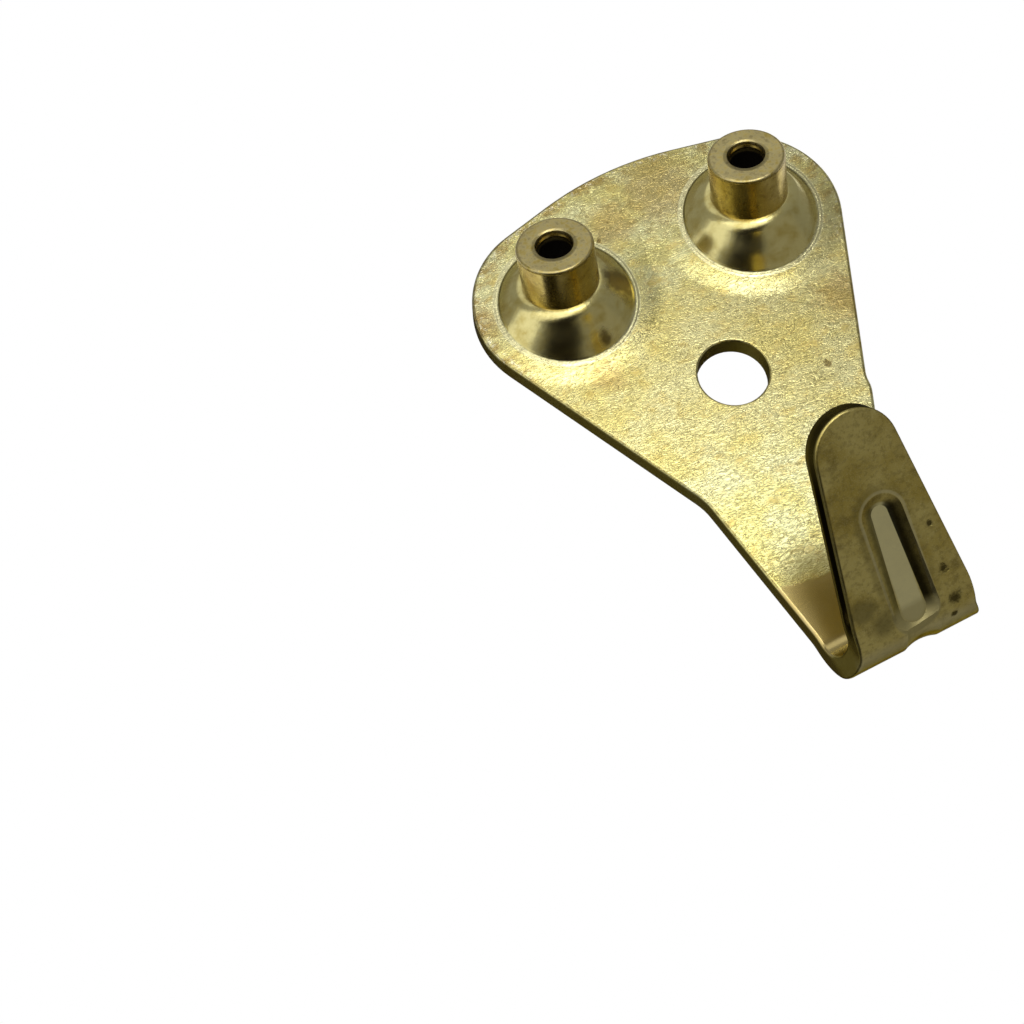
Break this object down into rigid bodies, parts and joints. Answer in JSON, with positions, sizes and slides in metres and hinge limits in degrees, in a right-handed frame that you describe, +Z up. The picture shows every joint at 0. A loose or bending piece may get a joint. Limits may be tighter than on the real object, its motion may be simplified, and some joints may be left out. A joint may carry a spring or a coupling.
{
  "type": "picture hook",
  "caption": "Drop-shaped brass-plated wall hook with a folded ribbed tongue, a centre hole and tilted nail guides riveted into raised bosses.",
  "frame": {"origin": "centre of the central hole on the wall plane, which is the plate's flat back", "axes": "+X to the right seen from the front, +Z up as hung on a wall, front faces -Y"},
  "size_m": [0.0362, 0.0198, 0.054],
  "materials": {
    "plated_sheet": "bright plated, finely crinkled, burnished at the bosses and the tongue",
    "turned_brass": "turned and lightly tarnished"
  },
  "bodies": {
    "root": {"hook_plate": "plated_sheet", "left_nail_guide": "turned_brass", "right_nail_guide": "turned_brass"}
  },
  "joints": []
}
